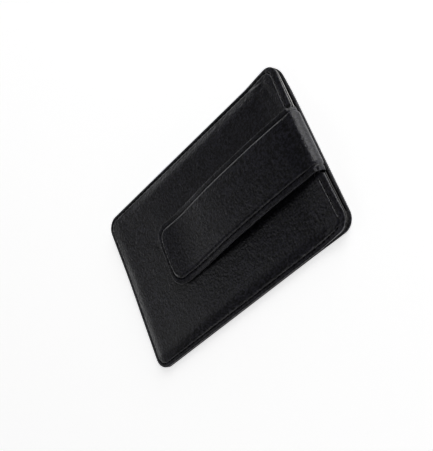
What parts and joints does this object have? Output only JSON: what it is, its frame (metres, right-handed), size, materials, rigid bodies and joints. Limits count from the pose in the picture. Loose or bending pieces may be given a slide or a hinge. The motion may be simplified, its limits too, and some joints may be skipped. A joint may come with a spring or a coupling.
{
  "type": "leather money clip card case",
  "caption": "Slim black leather card case, open at one short end, with a leather-covered spring money clip rolled over its mouth onto the front.",
  "frame": {"origin": "centre of the case's back face, the face it rests on", "axes": "+X along the case towards the open mouth and the clip's roll, +Y across its width, +Z out of the front panel where the clip's arm lies"},
  "size_m": [0.1095, 0.07, 0.0092],
  "materials": {
    "black_leather": "smooth fine-grained black calf leather, semi-matt",
    "facing_leather": "thin black leather with burnished, slightly lighter cut edges",
    "fibre_board": "bonded leather fibre board, hidden",
    "lining_fabric": "fine black twill lining",
    "spring_steel": "plain spring steel strip, satin, hidden inside the leather",
    "padding_felt": "thin felt padding, hidden",
    "black_thread": "waxed black thread"
  },
  "bodies": {
    "case": {"back_leather": "black_leather", "back_board": "fibre_board", "back_facing": "facing_leather", "back_lining": "lining_fabric", "seam_welt": "facing_leather", "front_facing": "facing_leather", "front_lining": "lining_fabric", "front_board": "fibre_board", "front_leather": "black_leather", "front_seam_thread": "black_thread", "back_seam_thread": "black_thread", "spring_leg": "spring_steel", "clip_tuck": "black_leather"},
    "arm": {"spring_arm": "spring_steel", "arm_padding": "padding_felt", "arm_outer_leather": "black_leather", "arm_inner_leather": "black_leather", "arm_edge_thread": "black_thread"}
  },
  "joints": [
    {"name": "arm_flex", "type": "hinge", "parent": "case", "child": "arm", "pos_m": [0.0525, 0, 0.0053], "axis": [0, 1, 0], "range_deg": [0, 8], "stiffness_Nm_per_rad": 2, "springref_deg": -2.86}
  ]
}
